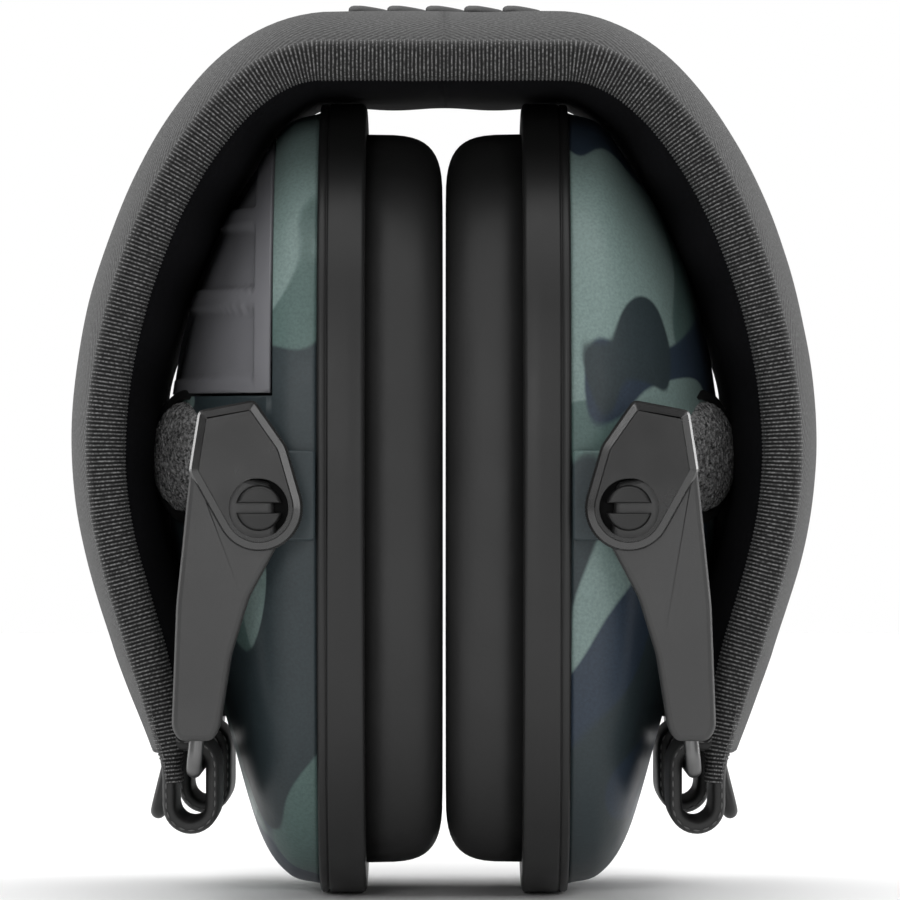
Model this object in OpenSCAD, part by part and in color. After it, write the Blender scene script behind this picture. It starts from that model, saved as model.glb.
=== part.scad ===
// Folding electronic earmuff, shown folded: both cups tucked inside the padded headband.
// X runs across the head, Y from front (-) to rear (+), Z up. All sizes in millimetres.
// The right-hand side (+X) is drawn first and the left-hand side is its mirror image.

/* [Ear cups] */
// Height of the ear plate
plate_h = 107.4; // [100:0.1:110]
// Depth of the ear plate, front to rear
plate_d = 76; // [70:0.5:76]
// Thickness of the ear plate
plate_t = 6.3; // [5:0.1:7]
// Thickness of the ear cushion
cushion_t = 10.3; // [9:0.1:11]
// How far the cushion is set in from the plate's edge
cushion_inset = 4.1; // [3:0.1:6]
// Width of the shell's plastic wall
shell_wall = 1.8; // [1.5:0.1:2]
// Height of the ear opening
opening_h = 60; // [50:1:64]
// Depth of the ear opening, front to rear
opening_d = 38; // [32:1:42]

/* [Yoke] */
// Diameter of the steel wire
wire_d = 2; // [1.8:0.1:2.4]
// Distance of each wire leg from the middle plane
leg_y = 41.6; // [41:0.1:42]
// Straight length of each wire leg above the cross bar
leg_len = 41; // [36:1:44]
// Lean of the wire legs towards the middle
leg_lean = 6; // [4:0.5:7]
// Thickness of each plastic arm
arm_t = 5.4; // [5:0.1:6]
// Radius of the pivot pin's shank
pin_r = 2.4; // [2:0.1:2.6]

/* [Headband] */
// Thickness of the padded band at its bound edges
band_t = 5.2; // [4.6:0.1:6]
// Depth of the padded band, front to rear
band_d = 72; // [64:1:73]
// Extra thickness of the padding along the top
crown_rise = 5.5; // [3:0.5:5.5]
// Width of the spring strip inside the band
strip_w = 16; // [12:1:24]

/* [Controls] */
// Radius of the volume knob
knob_r = 5.6; // [5:0.1:6]
// Radius of the audio socket's hole
jack_r = 1.8; // [1.75:0.01:1.9]

/* [Hidden] */
$fn = 48;
GAP = 0.15;               // clearance of a face from its neighbour
HINGE = [32.7, 18.3];     // cross bar of the wire, in X and Z
PIVOT = [24.1, 52.7];     // cup pivot, in X and Z
SHOULDER = 16;            // where the crown of the band meets its sides
mid_z = plate_h / 2;
plate_x = GAP + cushion_t;        // cushion side of the ear plate
shell_x = plate_x + plate_t;      // shell side of the ear plate
arm_y = leg_y - arm_t / 2;        // inner face of an arm
CURVE_STEPS = 12;

// Sections of the shell from the ear plate outwards: reach, lowest, highest, half depth
SHELL = [
    [0, 1.2, 106.2, 37.2],
    [4.4, 2.6, 104.6, 36.8],
    [8.2, 8.2, 99.6, 35.2],
    [12.3, 22, 93, 31],
    [16, 35, 85.5, 25],
    [18.8, 43.5, 76, 18],
    [20.2, 48, 68, 12]
];
OVAL = 2.6;               // squareness of the cups' outline
SKIN = 0.02;              // thickness of each section that the hull spans
OVAL_SIDES = 40;

function spow(v, p) = sign(v) * pow(abs(v), p);
function oval(half_y, half_z) = [
    for (i = [0:OVAL_SIDES - 1])
        let (a = 360 * i / OVAL_SIDES)
        [-half_z * spow(sin(a), 2 / OVAL), half_y * spow(cos(a), 2 / OVAL)]
];
function bezier(p, t) =
    pow(1 - t, 3) * p[0] + 3 * t * pow(1 - t, 2) * p[1]
    + 3 * t * t * (1 - t) * p[2] + pow(t, 3) * p[3];
function slope(p, t) =
    3 * pow(1 - t, 2) * (p[1] - p[0]) + 6 * t * (1 - t) * (p[2] - p[1])
    + 3 * t * t * (p[3] - p[2]);
function normal_of(d) = [-d[1], d[0]] / norm(d);

function arc(c, r, a0, a1, n) = [
    for (i = [0:n]) let (a = a0 + (a1 - a0) * i / n) c + r * [cos(a), sin(a)]
];

// Centre line of the band's side: shoulder curve, then the curl back in to the loops
BAND_Z = 111.6;
SHOULDER_CURVE = [[SHOULDER, BAND_Z], [31.3, BAND_Z], [44.6, 82.3], [44.6, 60]];
CURL_CURVE = [[44.6, 60], [44.6, 46.1], [39, 37.3], [36, 20.5]];
CURL_END = 0.93;
FALL_POWER = 2.5;      // how soon the padding settles from its height at the crown
function band_point(s) = s < 1 ? bezier(SHOULDER_CURVE, s) : bezier(CURL_CURVE, s - 1);
function band_slope(s) = s < 1 ? slope(SHOULDER_CURVE, s) : slope(CURL_CURVE, s - 1);
function side_line(off_top, off_end) = [
    for (i = [0:2 * CURVE_STEPS])
        let (
            s = i / CURVE_STEPS < 1 ? i / CURVE_STEPS : 1 + (i / CURVE_STEPS - 1) * CURL_END,
            f = i / (2 * CURVE_STEPS),
            off = off_end + (off_top - off_end) * pow(1 - f, FALL_POWER)
        )
        band_point(s) + off * normal_of(band_slope(s))
];
function reversed(v) = [for (i = [len(v) - 1:-1:0]) v[i]];
function strip_outline(outer, inner) =
    concat(side_line(outer, outer), reversed(side_line(inner, inner)));

// Extrudes an outline drawn in X and Z from y0 to y1
module slab(y0, y1) {
    translate([0, y1, 0]) rotate([90, 0, 0]) linear_extrude(y1 - y0) children();
}

// Extrudes an outline drawn as [-Z, Y] from x0 to x1, centred at height z
module plate(x0, x1, z) {
    translate([x0, 0, z]) rotate([0, 90, 0]) linear_extrude(x1 - x0) children();
}

module rod_y(x, z, y0, y1, r) {
    translate([x, y1, z]) rotate([90, 0, 0]) cylinder(r = r, h = y1 - y0);
}

module rod_x(x0, x1, y, z, r) {
    translate([x0, y, z]) rotate([0, 90, 0]) cylinder(r = r, h = x1 - x0);
}

module left() {
    mirror([1, 0, 0]) children();
}

// Both the front and the rear copy of a child drawn on the rear side
module front_and_rear() {
    children();
    mirror([0, 1, 0]) children();
}

// ---------------------------------------------------------------- headband

module crown_slab(z0, z1, half_x, half_y) {
    translate([-half_x, -half_y, z0]) cube([2 * half_x, 2 * half_y, z1 - z0]);
}

STRIP_HALF = 0.4;
SLOT_HALF = 0.5;
PAD_Y = band_d / 2;
RISE_Y = band_d * 0.34;
SIDE_RISE = 2.7;       // padding outside the bound edges, at the ends of the band
LINING_CROWN = 0.6;    // padding inside the bound edges, at the crown
LINING_SIDE = 3;       // and at the ends of the band

function padding_outline() = concat(
    side_line(band_t / 2 + crown_rise, band_t / 2 + SIDE_RISE),
    reversed(side_line(-band_t / 2 - LINING_CROWN, -band_t / 2 - LINING_SIDE))
);

module band_pad_crown() {
    color("dimgray") difference() {
        union() {
            crown_slab(BAND_Z - band_t / 2, BAND_Z + band_t / 2, SHOULDER, PAD_Y);
            crown_slab(BAND_Z - band_t / 2 - LINING_CROWN, BAND_Z + band_t / 2 + crown_rise, SHOULDER, RISE_Y);
        }
        crown_slab(BAND_Z - SLOT_HALF, BAND_Z + SLOT_HALF, SHOULDER + 1, strip_w / 2 + 0.1);
    }
}

module side_pad() {
    color("dimgray") difference() {
        union() {
            slab(-PAD_Y, PAD_Y)
                polygon(strip_outline(band_t / 2, -band_t / 2));
            slab(-RISE_Y, RISE_Y)
                polygon(padding_outline());
        }
        slab(-strip_w / 2 - 0.1, strip_w / 2 + 0.1)
            polygon(strip_outline(SLOT_HALF, -SLOT_HALF));
    }
}

module spring_strip_crown() {
    color("silver") crown_slab(BAND_Z - STRIP_HALF, BAND_Z + STRIP_HALF, SHOULDER - 0.1, strip_w / 2);
}

module side_strip() {
    color("silver") intersection() {
        slab(-strip_w / 2, strip_w / 2)
            polygon(strip_outline(STRIP_HALF, -STRIP_HALF));
        translate([SHOULDER + 0.1, -strip_w, 0]) cube([40, 2 * strip_w, 120]);
    }
}

BIND_OVER = 0.4;     // thickness of the binding ribbon
BIND_REACH = 5;      // how far the ribbon wraps in from the edge

// Ribbon folded over the band's front and rear edges
module edge_binding_crown() {
    half = band_t / 2;
    color([0.06, 0.06, 0.06]) front_and_rear() {
        translate([-SHOULDER, PAD_Y, BAND_Z - half - BIND_OVER])
            cube([2 * SHOULDER, BIND_OVER, band_t + 2 * BIND_OVER]);
        for (z = [BAND_Z - half - BIND_OVER, BAND_Z + half])
            translate([-SHOULDER, PAD_Y - BIND_REACH, z])
                cube([2 * SHOULDER, BIND_REACH + BIND_OVER, BIND_OVER]);
    }
}

module side_binding() {
    half = band_t / 2;
    out = half + BIND_OVER;
    color([0.06, 0.06, 0.06]) front_and_rear() {
        slab(PAD_Y, PAD_Y + BIND_OVER) polygon(strip_outline(out, -out));
        slab(PAD_Y - BIND_REACH, PAD_Y + BIND_OVER) polygon(strip_outline(out, half));
        slab(PAD_Y - BIND_REACH, PAD_Y + BIND_OVER) polygon(strip_outline(-half, -out));
    }
}

// Plain moulded patch with slanted ribs, on the crown of the band
module top_patch() {
    top = BAND_Z + band_t / 2 + crown_rise;
    ribs = 5;
    color([0.2, 0.2, 0.2]) translate([0, 0, top]) {
        crown_slab(0, 0.3, 15.5, 15);
        for (i = [0:ribs - 1])
            translate([-10.4 + 20.8 * i / (ribs - 1), 0, 0.3]) rotate([0, 0, 20])
                translate([-1.2, -11, 0]) cube([2.4, 22, 0.5]);
    }
}

EYE_X = 33.3;
EYE_TOP = 18.8;
EYE_LOW = 13.4;
EYE_R = 3.8;
EYE_HOLE = 2.1;
LOOP_W = 20;

module stadium(r) {
    translate([EYE_X, EYE_TOP]) circle(r = r);
    translate([EYE_X, EYE_LOW]) circle(r = r);
    translate([EYE_X - r, EYE_LOW]) square([2 * r, EYE_TOP - EYE_LOW]);
}

// Two stitched straps, front and rear, that hold the wire's cross bar
module strap_loops() {
    end_line = 2 * CURVE_STEPS;
    outer = side_line(band_t / 2, band_t / 2)[end_line];
    inner = side_line(-band_t / 2, -band_t / 2)[end_line];
    color([0.1, 0.1, 0.1]) front_and_rear() slab(PAD_Y - LOOP_W, PAD_Y) difference() {
        union() {
            stadium(EYE_R);
            polygon([[EYE_X, EYE_TOP + 2], inner, outer, [EYE_X + EYE_R, EYE_TOP - 4]]);
        }
        stadium(EYE_HOLE);
    }
}

LEAD_R = 1.05;
LEAD_Y = 12;
LEAD_BEND = 2.2;

// Slack loop of the lead between the cups, where it leaves the end of the band
module lead_slack() {
    color([0.08, 0.08, 0.08]) translate([36.5, LEAD_Y, 22.6]) rotate([0, 166, 0]) {
        for (y = [-LEAD_BEND, LEAD_BEND])
            translate([0, y, 0]) cylinder(r = LEAD_R, h = 10.5, $fn = 24);
        translate([0, 0, 10.5]) rotate([0, 0, 90]) rotate([90, 0, 0])
            rotate_extrude(angle = 180, $fn = 32) translate([LEAD_BEND, 0]) circle(r = LEAD_R, $fn = 24);
    }
}

// ---------------------------------------------------------------- yoke

WIRE_BEND = 2.6;

// Draws children in the wire's own frame: cross bar on Y, legs along Z
module on_wire() {
    translate([HINGE[0], 0, HINGE[1]]) rotate([0, -leg_lean, 0]) children();
}

module wire_bail() {
    r = wire_d / 2;
    half = leg_y - WIRE_BEND;
    color("silver") on_wire() {
        rod_y(0, 0, -half, half, r);
        front_and_rear() {
            translate([0, leg_y, WIRE_BEND]) cylinder(r = r, h = leg_len - WIRE_BEND);
            translate([0, half, WIRE_BEND]) rotate([0, 90, 0])
                rotate_extrude(angle = 90) translate([WIRE_BEND, 0]) circle(r = r);
        }
    }
}

ARM_BOSS = 5.7;
CAP_R = 3.8;
CAP_DEPTH = 1.4;
WIRE_CLEAR = 0.1;

module arm_outline() {
    top = [[20.4, 60.8], [24.6, 66.9], [32.1, 65.5], [33.3, 56.5]];
    foot = [[34.9, 40], [35.5, 24], [34.5, 22.3], [30.2, 22.3], [29.2, 24], [27.7, 33.5], [25.4, 41]];
    polygon(concat(top, foot, arc(PIVOT, ARM_BOSS, 265, 165, 12)));
}

// One arm of the yoke, on the rear side
module arm_rear() {
    difference() {
        slab(arm_y, arm_y + arm_t) arm_outline();
        rod_y(PIVOT[0], PIVOT[1], arm_y - 1, arm_y + arm_t + 1, pin_r + 0.05);
        rod_y(PIVOT[0], PIVOT[1], arm_y + arm_t - CAP_DEPTH, arm_y + arm_t + 1, CAP_R + 0.1);
        on_wire() translate([0, leg_y, 0]) cylinder(r = wire_d / 2 + WIRE_CLEAR, h = leg_len + 1);
    }
}

module arm_front() {
    mirror([0, 1, 0]) arm_rear();
}

// ---------------------------------------------------------------- cup

// Solid body of the shell, drawn in by off
module dome(off) {
    hull() for (s = SHELL)
        plate(shell_x + s[0] - off - SKIN, shell_x + s[0] - off, (s[1] + s[2]) / 2)
            polygon(oval(s[3] - off, (s[2] - s[1]) / 2 - off));
}

module dome_wall() {
    difference() {
        intersection() {
            dome(0);
            translate([shell_x, -50, -10]) cube([40, 100, 130]);
        }
        dome(shell_wall);
        translate([shell_x - 5, -30, 8]) cube([6, 60, 90]);
    }
}

SCREW_R = 1.1;
SCREW_Y = 11;
SCREW_RISE = 41.5;
module at_screws() {
    for (z = [-1, 1], y = [-1, 1])
        translate([0, SCREW_Y * y, mid_z + SCREW_RISE * z]) children();
}

// Posts inside the shell for the ear plate's screws, each with a web to the wall
module screw_posts() {
    difference() {
        intersection() {
            dome(shell_wall / 2);
            for (z = [-1, 1], y = [-1, 1]) translate([0, SCREW_Y * y, mid_z + SCREW_RISE * z]) {
                rod_x(shell_x, shell_x + 5, 0, 0, 2.6);
                translate([shell_x, -1, z > 0 ? 0 : -20]) cube([5, 2, 20]);
            }
        }
        at_screws() rod_x(shell_x - 1, shell_x + 4, 0, 0, SCREW_R);
    }
}

// Bearing bosses that carry the two pivot pins
module pivot_bosses() {
    front_and_rear() rod_y(PIVOT[0], PIVOT[1], 31.5, arm_y - 0.3, 4.8);
}

module pivot_holes() {
    front_and_rear() rod_y(PIVOT[0], PIVOT[1], 31, arm_y + 1, pin_r + 0.05);
}

// Frame of the forward microphone: its axis points outwards and to the front
MIC_AT = [33.4, -19.6, 59.4];
MIC_TURN = -32;
module on_mic() {
    translate(MIC_AT) rotate([0, 0, MIC_TURN]) rotate([0, 90, 0]) children();
}

MIC_R = 7.4;
module mic_hole() {
    on_mic() translate([0, 0, -6]) cylinder(r = MIC_R + 0.2, h = 20);
}

module windscreen() {
    color([0.25, 0.25, 0.26]) on_mic() {
        translate([0, 0, -2.2]) cylinder(r = MIC_R, h = 4.4);
        translate([0, 0, 2.2]) cylinder(r = MIC_R - 1.6, h = 1);
    }
}

module microphone() {
    color("goldenrod") on_mic() translate([0, 0, -5.2]) cylinder(r = 2, h = 2.6);
}

BAY_X = 22.8;      // edges of the battery bay
BAY_Z = 67.6;
module bay_region(grow) {
    translate([BAY_X - grow, -50, BAY_Z - grow]) cube([40, 100, 60]);
}

module shell_left() {
    color([0.3, 0.36, 0.35]) left() difference() {
        union() {
            dome_wall();
            screw_posts();
            pivot_bosses();
        }
        bay_region(0.15);
        mic_hole();
        pivot_holes();
    }
}

KNOB_AT = [22.6, 26.5];
KNOB_Y = 36.2;
KNOB_T = 2.2;
JACK_AT = [22, 17.5];
JACK_END = 31;
JACK_BODY_R = 4;
module shell_right() {
    color([0.3, 0.36, 0.35]) difference() {
        union() {
            dome_wall();
            screw_posts();
            pivot_bosses();
        }
        mic_hole();
        pivot_holes();
        rod_y(KNOB_AT[0], KNOB_AT[1], 20, 50, 2.6);
        rod_y(JACK_AT[0], JACK_AT[1], 12, 50, JACK_BODY_R + 0.1);
    }
}

module battery_cover() {
    color([0.12, 0.12, 0.13]) left() difference() {
        intersection() {
            dome_wall();
            bay_region(-0.15);
        }
        cell_rods(0.1);
    }
}

PLATE_FLOOR = 1.5;
module ear_plate() {
    floor_x = shell_x - PLATE_FLOOR;
    color([0.07, 0.07, 0.07]) difference() {
        plate(plate_x, shell_x, mid_z) polygon(oval(plate_d / 2, plate_h / 2));
        plate(plate_x - 1, floor_x, mid_z) polygon(oval(opening_d / 2, opening_h / 2));
        plate(plate_x - 1, plate_x + 1.2, mid_z)
            polygon(oval(plate_d / 2 - 8, plate_h / 2 - 8));
        rod_x(floor_x - 1, shell_x + 1, 0, mid_z, 13);
        at_screws() rod_x(plate_x, shell_x + 1, 0, 0, 1.5);
    }
}

module cushion_plate() {
    color([0.15, 0.15, 0.15]) difference() {
        plate(plate_x, plate_x + 1, mid_z) polygon(oval(plate_d / 2 - 8.2, plate_h / 2 - 8.2));
        plate(plate_x - 1, plate_x + 2, mid_z) polygon(oval(opening_d / 2, opening_h / 2));
    }
}

module cushion() {
    color([0.05, 0.05, 0.05]) difference() {
        plate(GAP, plate_x, mid_z)
            polygon(oval(plate_d / 2 - cushion_inset, plate_h / 2 - cushion_inset));
        plate(-1, plate_x + 1, mid_z) polygon(oval(opening_d / 2, opening_h / 2));
    }
}

module foam_liner() {
    color([0.2, 0.2, 0.22]) plate(shell_x - PLATE_FLOOR - 1.6, shell_x - PLATE_FLOOR, mid_z)
        polygon(oval(opening_d / 2 - 0.3, opening_h / 2 - 0.3));
}

module mesh_cloth() {
    top = shell_x - PLATE_FLOOR - 1.6;
    color([0.14, 0.14, 0.15]) plate(top - 0.4, top, mid_z)
        polygon(oval(opening_d / 2 - 0.3, opening_h / 2 - 0.3));
}

module speaker() {
    color([0.4, 0.4, 0.42]) {
        rod_x(shell_x, shell_x + 1.4, 0, mid_z, 15);
        rod_x(shell_x + 1.4, shell_x + 4, 0, mid_z, 8);
    }
}

// Four screws that hold the ear plate to the shell
module plate_screws() {
    color("silver") at_screws() {
        rod_x(plate_x + 3, shell_x + 3.5, 0, 0, SCREW_R);
        rod_x(plate_x + 1.3, plate_x + 3, 0, 0, SCREW_R + 0.3);
    }
}

module pivot_pins() {
    slot_w = 1.3;
    color([0.08, 0.08, 0.08]) front_and_rear() difference() {
        union() {
            rod_y(PIVOT[0], PIVOT[1], 32, arm_y + arm_t - CAP_DEPTH + 0.1, pin_r);
            rod_y(PIVOT[0], PIVOT[1], arm_y + arm_t - CAP_DEPTH + 0.1, arm_y + arm_t + 0.2, CAP_R);
        }
        translate([PIVOT[0] - 4, arm_y + arm_t - 0.9, PIVOT[1] - slot_w / 2])
            cube([8, 3, slot_w]);
    }
}

CELL_R = 5.25;
CELL_HALF = 22.25;
CELLS = [[22.5, 72.9], [22.05, 83.45]];
CELL_NUB = 1;

// Room for both cells, wider all round than the cells by gap
module cell_rods(gap) {
    for (c = CELLS) rod_y(c[0], c[1], -CELL_HALF - gap, CELL_HALF + gap, CELL_R + gap);
}

module aaa_cells() {
    color("gold") left() {
        for (c = CELLS) {
            rod_y(c[0], c[1], -CELL_HALF, CELL_HALF - CELL_NUB, CELL_R);
            rod_y(c[0], c[1], CELL_HALF - CELL_NUB, CELL_HALF, 1.9);
        }
    }
}

module battery_tray() {
    color([0.1, 0.1, 0.1]) left() difference() {
        translate([shell_x + 1.5, -23.9, BAY_Z + 0.6]) cube([4.1, 47.8, 21.2]);
        cell_rods(0.1);
        for (c = CELLS) rod_y(c[0], c[1], -CELL_HALF - 0.75, CELL_HALF + 0.75, CELL_R);
    }
}

module battery_contacts() {
    color("silver") left() for (c = CELLS) front_and_rear()
        rod_y(c[0], c[1], CELL_HALF + 0.1, CELL_HALF + 0.6, 3.5);
}

module main_board() {
    color("darkgreen") translate([shell_x + 5, -14, 38]) cube([1.4, 30, 44]);
}

module potentiometer() {
    color("dimgray") {
        rod_y(KNOB_AT[0], KNOB_AT[1], 11, 16, 3.2);
        rod_y(KNOB_AT[0], KNOB_AT[1], 16, KNOB_Y + 1, 1.5);
    }
}

KNOB_GRIPS = 12;
module volume_knob() {
    color([0.1, 0.1, 0.1]) difference() {
        rod_y(KNOB_AT[0], KNOB_AT[1], KNOB_Y, KNOB_Y + KNOB_T, knob_r);
        rod_y(KNOB_AT[0], KNOB_AT[1], KNOB_Y - 1, KNOB_Y + 1.1, 1.55);
        for (i = [0:KNOB_GRIPS - 1])
            translate([KNOB_AT[0], 0, KNOB_AT[1]]) rotate([0, 360 * i / KNOB_GRIPS, 0])
                rod_y(knob_r + 0.3, 0, KNOB_Y - 1, KNOB_Y + KNOB_T + 1, 0.7);
    }
}

JACK_LEN = 14;
module audio_jack() {
    color([0.6, 0.6, 0.6]) difference() {
        rod_y(JACK_AT[0], JACK_AT[1], JACK_END - JACK_LEN - 1.5, JACK_END, JACK_BODY_R);
        rod_y(JACK_AT[0], JACK_AT[1], JACK_END - JACK_LEN, JACK_END + 1, jack_r);
    }
}

band_pad_crown();
left() side_pad();  // band_pad_left
side_pad();  // band_pad_right
spring_strip_crown();
left() side_strip();  // spring_strip_left
side_strip();  // spring_strip_right
edge_binding_crown();
left() side_binding();  // edge_binding_left
side_binding();  // edge_binding_right
top_patch();
left() strap_loops();  // strap_loops_left
strap_loops();  // strap_loops_right
left() lead_slack();  // lead_slack_left
lead_slack();  // lead_slack_right
left() wire_bail();  // wire_bail_left
wire_bail();  // wire_bail_right
color([0.06, 0.06, 0.06]) left() arm_front();  // arm_left_front
color([0.06, 0.06, 0.06]) left() arm_rear();  // arm_left_rear
color([0.06, 0.06, 0.06]) arm_front();  // arm_right_front
color([0.06, 0.06, 0.06]) arm_rear();  // arm_right_rear
shell_left();
shell_right();
battery_cover();
left() ear_plate();  // ear_plate_left
ear_plate();  // ear_plate_right
left() cushion_plate();  // cushion_plate_left
cushion_plate();  // cushion_plate_right
left() cushion();  // cushion_left
cushion();  // cushion_right
left() foam_liner();  // foam_liner_left
foam_liner();  // foam_liner_right
left() mesh_cloth();  // mesh_cloth_left
mesh_cloth();  // mesh_cloth_right
left() speaker();  // speaker_left
speaker();  // speaker_right
left() windscreen();  // windscreen_left
windscreen();  // windscreen_right
left() microphone();  // microphone_left
microphone();  // microphone_right
left() pivot_pins();  // pivot_pins_left
pivot_pins();  // pivot_pins_right
left() plate_screws();  // plate_screws_left
plate_screws();  // plate_screws_right
battery_tray();
aaa_cells();
battery_contacts();
main_board();
potentiometer();
volume_knob();
audio_jack();
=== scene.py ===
import math

import bmesh
import bpy
import numpy as np
from mathutils import Matrix, Vector, noise


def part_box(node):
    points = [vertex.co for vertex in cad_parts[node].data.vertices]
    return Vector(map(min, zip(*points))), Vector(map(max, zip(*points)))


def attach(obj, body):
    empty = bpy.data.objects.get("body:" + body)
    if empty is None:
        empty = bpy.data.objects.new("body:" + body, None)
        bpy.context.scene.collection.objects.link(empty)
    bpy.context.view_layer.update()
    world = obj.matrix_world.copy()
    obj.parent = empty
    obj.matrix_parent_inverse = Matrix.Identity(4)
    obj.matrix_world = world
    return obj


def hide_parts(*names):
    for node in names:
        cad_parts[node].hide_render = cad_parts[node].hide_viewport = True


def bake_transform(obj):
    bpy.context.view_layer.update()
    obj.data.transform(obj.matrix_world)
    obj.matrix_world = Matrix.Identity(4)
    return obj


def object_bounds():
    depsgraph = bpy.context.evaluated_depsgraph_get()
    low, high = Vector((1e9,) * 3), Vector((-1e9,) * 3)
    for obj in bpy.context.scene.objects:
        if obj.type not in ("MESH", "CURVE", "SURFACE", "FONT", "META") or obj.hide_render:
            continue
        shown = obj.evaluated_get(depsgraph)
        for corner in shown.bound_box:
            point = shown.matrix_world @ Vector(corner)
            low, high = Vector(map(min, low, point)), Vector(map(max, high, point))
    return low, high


# The looks of a folding electronic earmuff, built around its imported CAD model.
# Shapes are worked out in millimetres for the right-hand side and mirrored for the left.
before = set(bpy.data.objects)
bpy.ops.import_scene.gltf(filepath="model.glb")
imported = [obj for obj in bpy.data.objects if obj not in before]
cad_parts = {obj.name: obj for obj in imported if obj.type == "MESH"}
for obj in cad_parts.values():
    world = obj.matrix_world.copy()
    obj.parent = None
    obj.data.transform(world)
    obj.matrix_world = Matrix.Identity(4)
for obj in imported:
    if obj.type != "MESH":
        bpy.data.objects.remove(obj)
cad_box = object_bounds()
MM = 0.001
SIDES = (("right", 1), ("left", -1))
noise.seed_set(7)


def node_mm(name):
    """Lowest and highest corner of a CAD node, in millimetres."""
    low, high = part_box(name)
    return np.array(low) / MM, np.array(high) / MM


# ---------------------------------------------------------------- camera and light

def make_camera():
    low, high = cad_box
    camera = bpy.data.objects.new("camera", bpy.data.cameras.new("camera"))
    camera.data.lens = 269.5
    camera.data.clip_end = 100
    camera.location = (0.0008, -0.921, (low.z + high.z) / 2)
    camera.rotation_euler = (math.radians(90), 0, 0)
    bpy.context.scene.collection.objects.link(camera)
    bpy.context.scene.camera = camera


def area_light(name, place, aim, size, watts):
    data = bpy.data.lights.new(name, "AREA")
    data.shape = "RECTANGLE"
    data.size, data.size_y = size
    data.energy = watts
    lamp = bpy.data.objects.new(name, data)
    lamp.location = place
    lamp.rotation_euler = (Vector(aim) - Vector(place)).to_track_quat("-Z", "Y").to_euler()
    bpy.context.scene.collection.objects.link(lamp)


def make_light():
    middle = (0, 0, 0.06)
    area_light("key", (-0.24, -1.15, 0.30), middle, (0.22, 0.35), 2.2)
    area_light("fill", (0.42, -1.05, 0.26), middle, (0.25, 0.45), 1.2)
    area_light("overhead", (0, 0, 2.6), middle, (6, 6), 210)
    area_light("rim_left", (-0.75, 0.25, 0.3), middle, (0.2, 0.6), 2.4)
    area_light("rim_right", (0.75, 0.25, 0.3), middle, (0.2, 0.6), 3)
    world = bpy.data.worlds.new("studio")
    world.use_nodes = True
    tree = world.node_tree
    path, switch = tree.nodes.new("ShaderNodeLightPath"), tree.nodes.new("ShaderNodeMixShader")
    seen = tree.nodes.new("ShaderNodeBackground")
    seen.inputs["Color"].default_value = (1, 1, 1, 1)
    ambient = tree.nodes["Background"]
    ambient.inputs["Color"].default_value = (0.10, 0.10, 0.10, 1)
    tree.links.new(path.outputs["Is Camera Ray"], switch.inputs["Fac"])
    tree.links.new(ambient.outputs["Background"], switch.inputs[1])
    tree.links.new(seen.outputs["Background"], switch.inputs[2])
    tree.links.new(switch.outputs["Shader"], tree.nodes["World Output"].inputs["Surface"])
    bpy.context.scene.world = world
    bpy.context.scene.view_settings.view_transform = "Standard"


make_camera()
make_light()


# ---------------------------------------------------------------- materials

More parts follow.
